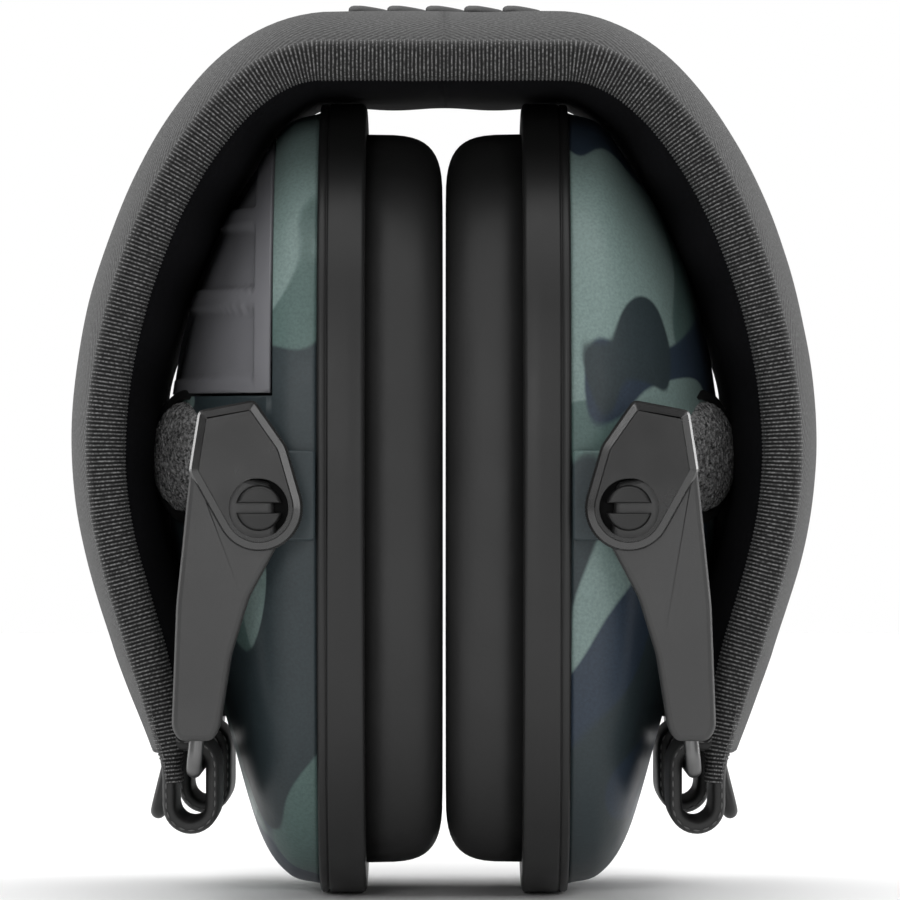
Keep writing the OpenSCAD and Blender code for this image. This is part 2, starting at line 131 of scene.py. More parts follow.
class Paint:
    """One procedural material: a Principled shader with coordinates and a few helpers."""

    def __init__(self, name, rough, metallic=0.0, coat=0.0, sheen=0.0, coords="Object", shine=0.5):
        self.material = bpy.data.materials.new(name)
        self.material.use_nodes = True
        self.tree = self.material.node_tree
        self.shader = self.tree.nodes["Principled BSDF"]
        self.shader.inputs["Roughness"].default_value = rough
        self.shader.inputs["Metallic"].default_value = metallic
        self.shader.inputs["Coat Weight"].default_value = coat
        self.shader.inputs["Coat Roughness"].default_value = 0.12
        self.shader.inputs["Sheen Weight"].default_value = sheen
        self.shader.inputs["Specular IOR Level"].default_value = shine
        self.coords = self.add("ShaderNodeTexCoord").outputs[coords]

    def add(self, kind, **settings):
        node = self.tree.nodes.new(kind)
        for key, value in settings.items():
            setattr(node, key, value)
        return node

    def link(self, out, into):
        self.tree.links.new(out, into)

    def mapped(self, scale=(1, 1, 1), turn=(0, 0, 0), shift=(0, 0, 0)):
        node = self.add("ShaderNodeMapping")
        node.inputs["Scale"].default_value = scale
        node.inputs["Rotation"].default_value = [math.radians(a) for a in turn]
        node.inputs["Location"].default_value = shift
        self.link(self.coords, node.inputs["Vector"])
        return node.outputs["Vector"]

    def noise(self, scale, detail=2.0, rough=0.5, distortion=0.0, vector=None):
        node = self.add("ShaderNodeTexNoise")
        node.inputs["Scale"].default_value = scale
        node.inputs["Detail"].default_value = detail
        node.inputs["Roughness"].default_value = rough
        node.inputs["Distortion"].default_value = distortion
        self.link(vector or self.coords, node.inputs["Vector"])
        return node.outputs["Fac"]

    def cells(self, scale, vector=None, feature="F1"):
        node = self.add("ShaderNodeTexVoronoi", feature=feature)
        node.inputs["Scale"].default_value = scale
        self.link(vector or self.coords, node.inputs["Vector"])
        return node.outputs["Distance"]

    def ramp(self, fac, stops):
        node = self.add("ShaderNodeValToRGB")
        ramp = node.color_ramp
        while len(ramp.elements) < len(stops):
            ramp.elements.new(0.5)
        for element, (place, colour) in zip(ramp.elements, stops):
            element.position = place
            element.color = colour if len(colour) == 4 else (*colour, 1)
        self.link(fac, node.inputs["Fac"])
        return node.outputs["Color"]

    def mix(self, fac, a, b):
        node = self.add("ShaderNodeMix", data_type="RGBA")
        self.link(fac, node.inputs["Factor"])
        for value, socket in ((a, node.inputs["A"]), (b, node.inputs["B"])):
            if isinstance(value, tuple):
                socket.default_value = (*value, 1)
            else:
                self.link(value, socket)
        return node.outputs["Result"]

    def math(self, operation, a, b=0.0):
        node = self.add("ShaderNodeMath", operation=operation)
        for value, socket in ((a, node.inputs[0]), (b, node.inputs[1])):
            if isinstance(value, (int, float)):
                socket.default_value = value
            else:
                self.link(value, socket)
        return node.outputs["Value"]

    def colour(self, socket):
        self.link(socket, self.shader.inputs["Base Color"])

    def roughness(self, socket, low, high):
        node = self.add("ShaderNodeMapRange")
        node.inputs["To Min"].default_value = low
        node.inputs["To Max"].default_value = high
        self.link(socket, node.inputs["Value"])
        self.link(node.outputs["Result"], self.shader.inputs["Roughness"])

    def bump(self, height, depth_mm, strength=1.0):
        node = self.add("ShaderNodeBump")
        node.inputs["Strength"].default_value = strength
        node.inputs["Distance"].default_value = depth_mm * MM
        previous = self.shader.inputs["Normal"].links
        if previous:
            self.link(previous[0].from_socket, node.inputs["Normal"])
        self.link(height, node.inputs["Height"])
        self.link(node.outputs["Normal"], self.shader.inputs["Normal"])


def grey(value, blue=1.0):
    """An even tone; blue above 1 cools it."""
    return (value, value, value * blue)


def moulded_plastic(name, dark, light, rough, grain_mm, depth_mm, coat=0.0, shine=0.5):
    """Moulded plastic: fine spark texture, slow tone changes and slightly uneven gloss."""
    p = Paint(name, rough, coat=coat, shine=shine)
    p.colour(p.mix(p.noise(60, 3), dark, light))
    p.roughness(p.noise(220, 4), rough - 0.06, rough + 0.08)
    p.bump(p.noise(1000 / grain_mm, 3, 0.6), depth_mm, 0.5)
    return p.material


def camouflage():
    """Satin printed plastic: soft-edged patches in four tones, pale ones leaning to the top and darker ones
    gathering lower down, partly print and partly painted light (painted highlight at the top, painted shade
    lower down).
    """
    green, pale = (0.070, 0.112, 0.104), (0.155, 0.215, 0.203)
    slate, coal = (0.024, 0.036, 0.054), (0.024, 0.034, 0.038)
    p = Paint("camo_print", 0.4, shine=0.32)
    axes = p.add("ShaderNodeSeparateXYZ")
    p.link(p.coords, axes.inputs["Vector"])
    height = axes.outputs["Z"]

    def blotch_with_height_light(scale, offset, lean):
        cloud = p.noise(scale, 0.5, 0.4, 1.1, p.mapped((1, 0.85, 0.65), (0, 32, 0), offset))
        # The height term is painted light: it pushes pale patches up as a painted highlight and dark patches
        # down as painted shade.
        return p.math("ADD", cloud, p.math("MULTIPLY", p.math("SUBTRACT", height, 0.065), lean))

    # Pale patches lean to the top, slate and coal to the bottom: print plus painted highlight and painted
    # shade.
    pale_patch_and_top_light = blotch_with_height_light(40, (0.4, 0, 0), 1.6)
    slate_patch_and_low_shade = blotch_with_height_light(34, (0.05, 0, 0.02), -1.3)
    coal_patch_and_low_shade = blotch_with_height_light(32, (0, 0.3, 1.7), -0.5)
    edge = 0.004

    def patch(fac, level):
        return p.ramp(fac, [(level - edge, grey(0.0)), (level + edge, grey(1.0))])

    tone = p.mix(patch(pale_patch_and_top_light, 0.53), green, pale)
    tone = p.mix(patch(slate_patch_and_low_shade, 0.53), tone, slate)
    tone = p.mix(patch(coal_patch_and_low_shade, 0.60), tone, coal)
    speck = p.ramp(p.noise(2600, 2), [(0.30, grey(0.86)), (0.70, grey(1.10))])
    worn = p.add("ShaderNodeMix", data_type="RGBA", blend_type="MULTIPLY")
    worn.inputs["Factor"].default_value = 1.0
    p.link(tone, worn.inputs["A"])
    p.link(speck, worn.inputs["B"])
    p.colour(worn.outputs["Result"])
    p.roughness(p.noise(300, 4), 0.34, 0.50)
    p.bump(p.noise(1800, 3, 0.6), 0.02, 0.5)
    return p.material


def melange_fabric():
    """Outer cloth of the headband: fine twill with pale flecks."""
    p = Paint("melange_fabric", 0.85, sheen=0.12, coords="UV", shine=0.2)
    fleck = p.noise(210, 3, 0.7)
    tone = p.ramp(fleck, [(0.30, grey(0.020)), (0.52, grey(0.046)), (0.70, grey(0.105))])
    p.colour(tone)
    warp = p.add("ShaderNodeTexWave", wave_type="BANDS", bands_direction="DIAGONAL")
    warp.inputs["Scale"].default_value = 62
    warp.inputs["Distortion"].default_value = 1.2
    p.link(p.coords, warp.inputs["Vector"])
    p.bump(warp.outputs["Fac"], 0.12, 0.6)
    p.bump(fleck, 0.15, 0.5)
    return p.material


def lining_fabric():
    """Smooth black knit on the inside of the headband."""
    p = Paint("lining_fabric", 0.95, coords="UV", shine=0.03)
    p.colour(p.mix(p.noise(120, 3), grey(0.003), grey(0.007, 1.2)))
    p.bump(p.noise(160, 3, 0.7), 0.1, 0.5)
    return p.material


RIB_MM = 0.52


def edge_ribbon():
    """Grosgrain ribbon: painted highlight on the crests and painted shade in the valleys, one rib every
    RIB_MM along the edge.
    """
    p = Paint("edge_ribbon", 0.75, sheen=0.05, coords="UV", shine=0.25)
    split = p.add("ShaderNodeSeparateXYZ")
    p.link(p.coords, split.inputs["Vector"])
    phase = p.math("MULTIPLY", split.outputs["X"], 100 / RIB_MM * 2 * math.pi)
    unevenness = p.math("MULTIPLY", p.math("SUBTRACT", p.noise(30, 3), 0.5), 1.6)
    crest = p.math("COSINE", p.math("ADD", phase, unevenness))
    crest = p.math("MULTIPLY_ADD", crest, 0.5)
    crest.node.inputs[2].default_value = 0.5
    # Colour follows the ribs: painted highlight on each crest and painted shade in each valley, with a little
    # thread noise.
    crest_light_and_thread_noise = p.math("MULTIPLY", crest, p.noise(260, 2))
    p.colour(p.ramp(crest_light_and_thread_noise, [(0.12, grey(0.002)), (0.36, grey(0.030)), (0.62, grey(0.170))]))
    p.bump(crest, 0.10, 0.7)
    return p.material


def leatherette(name, tone, rough, pebble_mm=0.7, depth_mm=0.05):
    p = Paint(name, rough, shine=0.4)
    p.colour(p.mix(p.noise(45, 4), grey(tone * 0.8), grey(tone * 1.25)))
    p.roughness(p.noise(130, 3), rough - 0.06, rough + 0.1)
    pebbles = p.cells(1000 / pebble_mm, feature="SMOOTH_F1")
    p.bump(pebbles, depth_mm, 0.35)
    p.bump(p.noise(90, 4, 0.6), 0.25, 0.25)
    return p.material


def foam(name, dark, light):
    p = Paint(name, 0.95)
    pores = p.cells(1900)
    tones = [(0.38, grey(dark)), (0.50, grey((dark + light) / 2)), (0.64, grey(light))]
    p.colour(p.ramp(p.noise(2100, 3, 0.8), tones))
    p.bump(pores, 0.35, 0.9)
    p.bump(p.noise(1500, 3, 0.7), 0.3, 0.8)
    return p.material


def drawn_steel(name, tone, rough):
    p = Paint(name, rough, metallic=1.0)
    p.colour(p.mix(p.noise(500, 4), grey(tone * 0.75), grey(tone)))
    lines = p.noise(900, 3, 0.6, 0.0, p.mapped((1, 1, 0.05)))
    p.roughness(lines, rough - 0.08, rough + 0.14)
    p.bump(lines, 0.01, 0.4)
    return p.material


def mesh_cloth():
    p = Paint("mesh_cloth", 0.9, sheen=0.2)
    holes = p.cells(1500)
    p.colour(p.ramp(holes, [(0.18, grey(0.004)), (0.45, grey(0.05))]))
    p.bump(holes, 0.2, 0.8)
    return p.material


def printed_board():
    p = Paint("printed_board", 0.35)
    tracks = p.cells(260, feature="DISTANCE_TO_EDGE")
    p.colour(p.ramp(tracks, [(0.02, (0.03, 0.16, 0.06)), (0.05, (0.012, 0.075, 0.03))]))
    p.bump(tracks, 0.03, 0.5)
    return p.material


def cell_sleeve():
    p = Paint("cell_sleeve", 0.3)
    split = p.add("ShaderNodeSeparateXYZ")
    p.link(p.coords, split.inputs["Vector"])
    band = p.math("GREATER_THAN", split.outputs["Y"], 0.012)
    p.colour(p.mix(band, (0.02, 0.02, 0.022), (0.45, 0.20, 0.05)))
    p.bump(p.noise(400, 3), 0.01, 0.4)
    return p.material


PAINT = {
    "camo": camouflage(),
    "fabric": melange_fabric(),
    "lining": lining_fabric(),
    "ribbon": edge_ribbon(),
    "gloss": moulded_plastic("gloss_plastic", grey(0.012), grey(0.018), 0.24, 1.6, 0.01, coat=0.4),
    "textured": moulded_plastic("textured_plastic", grey(0.020), grey(0.036), 0.46, 0.45, 0.09),
    "plate": moulded_plastic("plate_plastic", grey(0.008), grey(0.014), 0.42, 0.5, 0.03, shine=0.36),
    "cover": moulded_plastic("cover_plastic", grey(0.130, 1.07), grey(0.170, 1.08), 0.40, 0.5, 0.03),
    # Near-black with little shine: black plastic whose tone also paints the shade in the pivot grooves and
    # behind the battery-cover gap.
    "dark": moulded_plastic("black_plastic_and_painted_shade", grey(0.003), grey(0.006), 0.6, 0.5, 0.02, shine=0.08),
    "knob": moulded_plastic("knob_plastic", grey(0.016), grey(0.028), 0.5, 0.4, 0.06),
    "cushion": leatherette("cushion_skin", 0.015, 0.52),
    "strap": leatherette("strap_skin", 0.011, 0.55, 0.45, 0.06),
    "thread": leatherette("thread", 0.075, 0.8, 0.3, 0.04),
    "rubber": leatherette("soft_rubber", 0.060, 0.62, 0.4, 0.03),
    "cable": leatherette("cable_skin", 0.018, 0.45, 0.5, 0.02),
    "foam": foam("windscreen_foam", 0.009, 0.30),
    "liner": foam("liner_foam", 0.020, 0.07),
    "steel": drawn_steel("wire_steel", 0.16, 0.34),
    "spring": drawn_steel("spring_steel", 0.60, 0.34),
    "zinc": drawn_steel("zinc_steel", 0.65, 0.28),
    "nickel": drawn_steel("nickel", 0.75, 0.22),
    "mesh": mesh_cloth(),
    "board": printed_board(),
    "cell": cell_sleeve(),
}


# ---------------------------------------------------------------- mesh helpers

def add_piece(name, verts, faces, paints, body=None, uv=None, face_paint=None, side=1, smooth=True):
    """A mesh from millimetre points; side -1 mirrors it in X. body rides it on a CAD body."""
    points = np.array(verts, float) * MM
    points[:, 0] *= side
    if side < 0:
        faces = [tuple(reversed(f)) for f in faces]
    mesh = bpy.data.meshes.new(name)
    mesh.from_pydata([tuple(p) for p in points], [], faces)
    piece = bpy.data.objects.new(name, mesh)
    bpy.context.scene.collection.objects.link(piece)
    for key in paints if isinstance(paints, (list, tuple)) else [paints]:
        mesh.materials.append(PAINT[key])
    if face_paint is not None:
        mesh.polygons.foreach_set("material_index", face_paint)
    mesh.polygons.foreach_set("use_smooth", [smooth and len(f) < 5 for f in faces])
    if uv is not None:
        layer = mesh.uv_layers.new(name="cloth")
        index = np.zeros(len(mesh.loops), int)
        mesh.loops.foreach_get("vertex_index", index)
        layer.data.foreach_set("uv", np.array(uv, np.float32)[index].ravel())
    mesh.validate()
    if body:
        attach(piece, body)
    return piece


def tidy_normals(piece):
    bm = bmesh.new()
    bm.from_mesh(piece.data)
    bmesh.ops.recalc_face_normals(bm, faces=bm.faces)
    bm.to_mesh(piece.data)
    bm.free()
    return piece


def rings_to_mesh(rings, close_ends=True):
    """Points and quads of a tube through closed rings of equal length, with flat ends or open ones."""
    rings = np.array(rings, float)
    count, around = rings.shape[:2]
    faces = [
        (i * around + j, i * around + (j + 1) % around,
         (i + 1) * around + (j + 1) % around, (i + 1) * around + j)
        for i in range(count - 1) for j in range(around)
    ]
    if close_ends:
        faces.append(tuple(reversed(range(around))))
        faces.append(tuple(range((count - 1) * around, count * around)))
    return rings.reshape(-1, 3), faces


def soften(piece, width_mm, segments=3, angle=30):
    """Rounds a piece's sharp edges."""
    bevel = piece.modifiers.new("soft_edges", "BEVEL")
    bevel.width = width_mm * MM
    bevel.segments = segments
    bevel.limit_method = "ANGLE"
    bevel.angle_limit = math.radians(angle)
    return piece


def spow(value, power):
    return np.sign(value) * np.abs(value) ** power


def wobble(points, size_mm, depth_mm, seed=0.0):
    """Moves points by smooth noise, the same at every run."""
    out = np.array(points, float)
    for i, p in enumerate(out):
        v = noise.noise_vector(Vector(p) / size_mm + Vector((seed, seed, seed)))
        out[i] += np.array(v) * depth_mm
    return out


# ---------------------------------------------------------------- headband

SHOULDER = 16.0
BAND_Z = 111.6
BAND_HALF = 2.6
CROWN_RISE, END_RISE = 5.5, 2.7
CROWN_LINING, END_LINING = 0.6, 3.0
FALL_POWER = 2.5
PAD_HALF_DEPTH = 34.8
CURVES = (
    np.array([[SHOULDER, BAND_Z], [31.3, BAND_Z], [44.6, 82.3], [44.6, 60]]),
    np.array([[44.6, 60], [44.6, 46.1], [39, 37.3], [36, 20.5], [35.6, 16.5]]),
)
BLEND_FROM = Vector((0.0115, 0, 0.1180))
BLEND_TO = Vector((0.0400, 0, 0.0930))


def bezier(p, t):
    return (1 - t) ** 3 * p[0] + 3 * t * (1 - t) ** 2 * p[1] + 3 * t * t * (1 - t) * p[2] + t ** 3 * p[3]


def band_line(step_mm):
    """Evenly spaced stations along the band from its middle: length, place, outward normal, share."""
    dense = [np.array([x, BAND_Z]) for x in np.linspace(0, SHOULDER, 200, endpoint=False)]
    share = [0.0] * len(dense)
    for k, curve in enumerate(CURVES):
        for t in np.linspace(0, 1, 400, endpoint=False):
            dense.append(bezier(curve, t))
            share.append((k + t) / 2)
    for t in np.linspace(0, 1, 50):
        dense.append(CURVES[1][3] * (1 - t) + CURVES[1][4] * t)
        share.append(1 + 0.1 * t)
    dense = np.array(dense)
    length = np.concatenate([[0], np.cumsum(np.linalg.norm(np.diff(dense, axis=0), axis=1))])
    count = int(length[-1] / step_mm)
    at = np.linspace(0, length[-1], count + 1)
    place = np.stack([np.interp(at, length, dense[:, k]) for k in (0, 1)], axis=1)
    slope = np.gradient(place, axis=0)
    slope /= np.linalg.norm(slope, axis=1)[:, None]
    normal = np.stack([-slope[:, 1], slope[:, 0]], axis=1)
    return at, place, normal, np.interp(at, length, share)


def fall(share):
    """1 at the crown, falling to 0 at the ends of the band."""
    return np.maximum(0, 1 - share) ** FALL_POWER


def end_taper(share):
    """1 along the band, less over its sewn ends."""
    return 1 - 0.5 * np.clip((share - 0.84) / 0.2, 0, 1) ** 1.5


def sweep_band(profiles, line):
    """Rings through the band's stations; a profile is a list of (y, offset) pairs."""
    at, place, normal, share = line
    rings = []
    for i in range(len(at)):
        ring = []
        for y, off in profiles(i):
            x, z = place[i] + off * normal[i]
            ring.append((x, y, z))
        rings.append(ring)
    return rings


def band_uv(rings, at):
    """One unit of texture to 100 mm, along the band and across it."""
    around = len(rings[0])
    across = np.concatenate([[0], np.cumsum(np.linalg.norm(np.diff(rings[0], axis=0), axis=1))])
    return [(at[i] * 0.01, across[j] * 0.01) for i in range(len(rings)) for j in range(around)]


def make_pad(name, side):
    """Padded half of the band: crowned cloth outside, puckered lining inside, fuller in its corner."""
    line = band_line(1.0)
    line = tuple(column[line[3] <= 1] for column in line)
    at, place, normal, share = line
    top = PAD_HALF_DEPTH * np.sin(np.linspace(-math.pi / 2, math.pi / 2, 41))
    under = top[::-1]
    bulge = np.maximum(0, 1 - np.abs(top / 33.5) ** 3) ** 0.9
    plump = np.maximum(0, 1 - np.abs(top / 33.8) ** 6)

    def profile(i):
        down, slim = fall(share[i]), end_taper(share[i])
        rise = END_RISE + (CROWN_RISE - END_RISE) * down
        lining = END_LINING + (CROWN_LINING - END_LINING) * down
        soft = [0.22 * noise.noise(Vector((side * at[i] / 11, y / 11, 4.0))) for y in top]
        outer = slim * (BAND_HALF - 0.35 + (rise + 0.35) * bulge) + np.array(soft) * bulge
        corner = 1.9 * math.exp(-((share[i] - 0.26) / 0.17) ** 2)
        pucker = (0.3 + 0.5 * corner) * math.cos(at[i] * 0.45) * plump * np.abs(under / PAD_HALF_DEPTH) ** 2
        inner = -slim * (BAND_HALF - 0.35 + (lining + 0.75 + corner) * plump) + pucker
        return list(zip(top, outer)) + list(zip(under, inner))

    rings = sweep_band(profile, line)
    verts, faces = rings_to_mesh(rings)
    around = len(rings[0])
    paint = [0 if (f[0] % around) < len(top) else 1 for f in faces]
    uv = band_uv(rings, at)
    return add_piece(name, verts, faces, ["fabric", "lining"], uv=uv, face_paint=paint, side=side)


def make_ribbon(name, side, front):
    """Grosgrain binding folded round one edge of the band, with real ribs."""
    line = band_line(RIB_MM / 5)
    at, place, normal, share = line
    angles = np.radians(np.linspace(-100, 100, 19))
    wrap_y, wrap_off = spow(np.cos(angles), 0.7), spow(np.sin(angles), 0.7)
    root = 33.2

    def profile(i):
        slim = end_taper(share[i])
        drift = noise.noise(Vector((side * at[i] / 8, front * 3.0, 2.0)))
        rib = 0.09 * math.cos((at[i] / RIB_MM + 0.08 * drift) * 2 * math.pi)
        out_y = root + (3.15 + rib + 0.12 * drift) * wrap_y
        out_off = (2.62 * slim + rib + 0.10 * drift) * wrap_off
        in_y = root + 2.75 * wrap_y[::-1]
        in_off = 2.3 * slim * wrap_off[::-1]
        return list(zip(front * np.concatenate([out_y, in_y]), np.concatenate([out_off, in_off])))

    rings = sweep_band(profile, line)
    verts, faces = rings_to_mesh(rings)
    return add_piece(name, verts, faces, "ribbon", uv=band_uv(rings, at), side=side)


def bend_over_shoulder(piece, side):
    """Bakes the piece's placement into its mesh; the blend span over the shoulder is worked out for the side
    but not used.
    """
    start, end = BLEND_FROM.copy(), BLEND_TO.copy()
    start.x *= side
    end.x *= side
    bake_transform(piece)


def make_stitches(name, path, normals, y, side, body, pitch=1.3, length=0.85):
    """A row of short thread capsules along a path in X and Z, at depth y."""
    verts, faces = [], []
    steps = np.concatenate([[0], np.cumsum(np.linalg.norm(np.diff(path, axis=0), axis=1))])
    count = int(steps[-1] / pitch)
    for k in range(count):
        base = (k + 0.5) * pitch
        ring_at = np.linspace(base - length / 2, base + length / 2, 5)
        radius = [0.04, 0.11, 0.14, 0.11, 0.04]
        first = len(verts)
        for at, r in zip(ring_at, radius):
            centre = np.array([np.interp(at, steps, path[:, c]) for c in (0, 1)])
            outward = np.array([np.interp(at, steps, normals[:, c]) for c in (0, 1)])
            for a in np.linspace(0, 2 * math.pi, 6, endpoint=False):
                x, z = centre + outward * r * math.sin(a)
                verts.append((x, y + r * math.cos(a), z))
        for i in range(4):
            for j in range(6):
                a, b = first + i * 6 + j, first + i * 6 + (j + 1) % 6
                faces.append((a, b, b + 6, a + 6))
        faces.append(tuple(first + j for j in reversed(range(6))))
        faces.append(tuple(first + 24 + j for j in range(6)))
    return add_piece(name, verts, faces, "thread", body, side=side)


def make_patch(name):
    """Plain raised chevrons on the crown, in place of any mark."""
    ribs, half = 5, 11.0
    parts_v, parts_f = [], []
    for k in range(ribs):
        x0 = -10.4 + k * 5.2
        rings = []
        for y in np.linspace(-half, half, 23):
            lean = 1.8 - abs(y) * 0.32
            top = BAND_Z + BAND_HALF + CROWN_RISE * (1 - abs(y / 33.5) ** 3) ** 0.9
            ends = min(1.0, (half - abs(y)) / 1.2 + 0.15)
            ring = []
            for a in np.linspace(0, 2 * math.pi, 14, endpoint=False):
                ring.append((x0 + lean + 1.15 * ends * spow(math.cos(a), 0.7), y,
                             top + 0.05 + 0.75 * ends * spow(math.sin(a), 0.8)))
            rings.append(ring)
        v, f = rings_to_mesh(rings)
        parts_f += [tuple(i + len(parts_v) for i in face) for face in f]
        parts_v += [tuple(p) for p in v]
    patch = add_piece(name, parts_v, parts_f, "rubber", "headband")
    tidy_normals(patch)
    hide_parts("top_patch")


def make_headband():
    for label, side in SIDES:
        pad = make_pad("pad_" + label, side)
        bend_over_shoulder(pad, side)
        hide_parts("band_pad_" + label, *(["band_pad_crown"] if side > 0 else []))
        for edge, front in (("front", -1), ("rear", 1)):
            ribbon = make_ribbon(f"ribbon_{label}_{edge}", side, front)
            bend_over_shoulder(ribbon, side)
            if front < 0:
                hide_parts("edge_binding_" + label, *(["edge_binding_crown"] if side > 0 else []))
    make_patch("chevron_patch")


# ---------------------------------------------------------------- strap loops

# Where the wire lies in the strap, the foot of its slot, and the strap's mid-line radius, thickness and width
EYE = np.array([33.3, 18.8])
EYE_LOW = 13.4
STRAP_MID = 2.85
STRAP_T = 1.9
STRAP_W = 20


def strap_path():
    """Centre line of the strap in X and Z: down from the band, round the wire and back up."""
    points = [(38.2, 27), (37.6, 23.5), (36.6, 20.5), (EYE[0] + STRAP_MID, 17.5)]
    for a in np.radians(np.linspace(0, -180, 17)):
        points.append((EYE[0] + STRAP_MID * math.cos(a), EYE_LOW + STRAP_MID * math.sin(a)))
    for a in np.radians(np.linspace(180, 60, 9)):
        points.append((EYE[0] + STRAP_MID * math.cos(a), EYE[1] + STRAP_MID * math.sin(a)))
    points += [(35.9, 22.5), (36.9, 25.5)]
    raw = np.array(points)
    length = np.concatenate([[0], np.cumsum(np.linalg.norm(np.diff(raw, axis=0), axis=1))])
    at = np.linspace(0, length[-1], 80)
    path = np.stack([np.interp(at, length, raw[:, k]) for k in (0, 1)], axis=1)
    for _ in range(2):
        path[1:-1] = (path[:-2] + 2 * path[1:-1] + path[2:]) / 4
    slope = np.gradient(path, axis=0)
    slope /= np.linalg.norm(slope, axis=1)[:, None]
    return path, np.stack([-slope[:, 1], slope[:, 0]], axis=1)


def make_straps():
    path, normal = strap_path()
    for label, side in SIDES:
        high = node_mm("strap_loops_" + label)[1]
        reach, inner = high[1], high[1] - STRAP_W
        for edge, front in (("front", -1), ("rear", 1)):
            middle, half = front * (reach + inner) / 2, (reach - inner) / 2
            rings = []
            for p, n in zip(path, normal):
                ring = []
                for a in np.radians(np.linspace(0, 360, 28, endpoint=False)):
                    off = STRAP_T / 2 * spow(math.sin(a), 0.55)
                    y = middle + half * spow(math.cos(a), 0.25)
                    ring.append((p[0] + off * n[0], y, p[1] + off * n[1]))
                rings.append(ring)
            verts, faces = rings_to_mesh(rings)
            body = "band_side_" + label
            strap = tidy_normals(add_piece(f"strap_{label}_{edge}", verts, faces, "strap", body, side=side))
            if front < 0:
                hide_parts("strap_loops_" + label)
            for k, y in enumerate((reach + 0.02, inner - 0.02)):
                name = f"stitch_{label}_{edge}_{k}"
                stitches = make_stitches(name, path + normal * 0.35, normal, front * y, side, body)


# ---------------------------------------------------------------- cups

CUSHION_X = node_mm("cushion_right")[0][0]
PLATE_X = node_mm("ear_plate_right")[0][0]
SHELL_X = node_mm("ear_plate_right")[1][0]
PLATE_LOW, PLATE_HIGH = node_mm("ear_plate_right")
MID_Z = (PLATE_LOW[2] + PLATE_HIGH[2]) / 2
PLATE_HALF = np.array([PLATE_HIGH[1], (PLATE_HIGH[2] - PLATE_LOW[2]) / 2])
CUSHION_LOW, CUSHION_HIGH = node_mm("cushion_right")
CUSHION_HALF = np.array([CUSHION_HIGH[1], (CUSHION_HIGH[2] - CUSHION_LOW[2]) / 2])
OPENING_HALF = np.array([19.0, 30.0])
OVAL = 2.6
# Sections of the shell: reach from the plate, lowest, highest, half depth
SHELL = np.array([
    [0, 1.2, 106.2, 37.2], [4.4, 2.6, 104.6, 36.8], [8.2, 8.2, 99.6, 35.2], [12.3, 22, 93, 31],
    [16, 35, 85.5, 25], [18.8, 43.5, 76, 18], [20.2, 48, 68, 12],
])


def oval(half_y, half_z, count, power=OVAL):
    a = np.radians(np.linspace(0, 360, count, endpoint=False))
    return np.stack([half_y * spow(np.cos(a), 2 / power), half_z * spow(np.sin(a), 2 / power)], axis=1)


def smooth_table(table, count):
    """The table's rows joined by a smooth curve, at count even steps of its own length."""
    rows = len(table)
    slopes = np.gradient(table, axis=0)
    out = []
    for s in np.linspace(0, rows - 1, count):
        i = min(int(s), rows - 2)
        t = s - i
        h00, h10 = 2 * t ** 3 - 3 * t ** 2 + 1, t ** 3 - 2 * t ** 2 + t
        h01, h11 = -2 * t ** 3 + 3 * t ** 2, t ** 3 - t ** 2
        out.append(h00 * table[i] + h10 * slopes[i] + h01 * table[i + 1] + h11 * slopes[i + 1])
    return np.array(out)


def dome_rings(shrink=0.0, around=128, count=46):
    """Rings of the shell from the ear plate outwards, closed by a shallow crown."""
    rings = []
    for reach, low, high, half_y in smooth_table(SHELL, count):
        ring = oval(half_y - shrink, (high - low) / 2 - shrink, around)
        rings.append([(SHELL_X + reach - shrink, y, (low + high) / 2 + z) for y, z in ring])
    last = np.array(rings[-1])
    centre = last.mean(axis=0)
    for k, f in enumerate((0.82, 0.6, 0.36, 0.12)):
        crown = centre + (last - centre) * f
        crown[:, 0] += (0.25, 0.42, 0.52, 0.56)[k]
        rings.append(crown.tolist())
    return rings


def without_base(faces):
    """The faces of a dome, open where it meets the ear plate."""
    return faces[:-2] + [faces[-1]]


def cut_plane(bm, point, normal, clear_outer=False, clear_inner=False):
    geometry = bm.verts[:] + bm.edges[:] + bm.faces[:]
    bmesh.ops.bisect_plane(bm, geom=geometry, plane_co=point, plane_no=normal,
                           clear_outer=clear_outer, clear_inner=clear_inner)


# Edges of the battery bay in the left-hand shell, and half the gap round its cover
BAY_X, BAY_Z = 22.8, 67.6
BAY_GAP = 0.22


def thicken(piece, wall_mm):
    """Gives a surface a wall, inwards."""
    solid = piece.modifiers.new("wall", "SOLIDIFY")
    solid.thickness = wall_mm * MM
    solid.offset = -1
    return piece


def make_shell(label, side):
    """Camouflage shell; the left-hand one is cut out for its battery cover."""
    verts, faces = rings_to_mesh(dome_rings())
    shell = add_piece("camo_shell_" + label, verts, without_base(faces), "camo", side=side)
    tidy_normals(shell)
    if side < 0:
        bm = bmesh.new()
        bm.from_mesh(shell.data)
        edge_x, edge_z = -(BAY_X - BAY_GAP) * MM, (BAY_Z - BAY_GAP) * MM
        cut_plane(bm, (edge_x, 0, 0), (-1, 0, 0))
        cut_plane(bm, (0, 0, edge_z), (0, 0, 1))
        middles = [(f, f.calc_center_median()) for f in bm.faces]
        gone = [f for f, middle in middles if middle.x < edge_x and middle.z > edge_z]
        bmesh.ops.delete(bm, geom=gone, context="FACES")
        bm.to_mesh(shell.data)
        bm.free()
    thicken(shell, 1.6)
    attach(shell, "cup_" + label)
    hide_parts("shell_" + label)


# Heights of the cover's sunken panels, their inner edge and their depth
PANELS = ((69.6, 79.2), (81.6, 90.3), (92.6, 99.0))
PANEL_INNER_X = 25.0
PANEL_DEPTH = 0.8


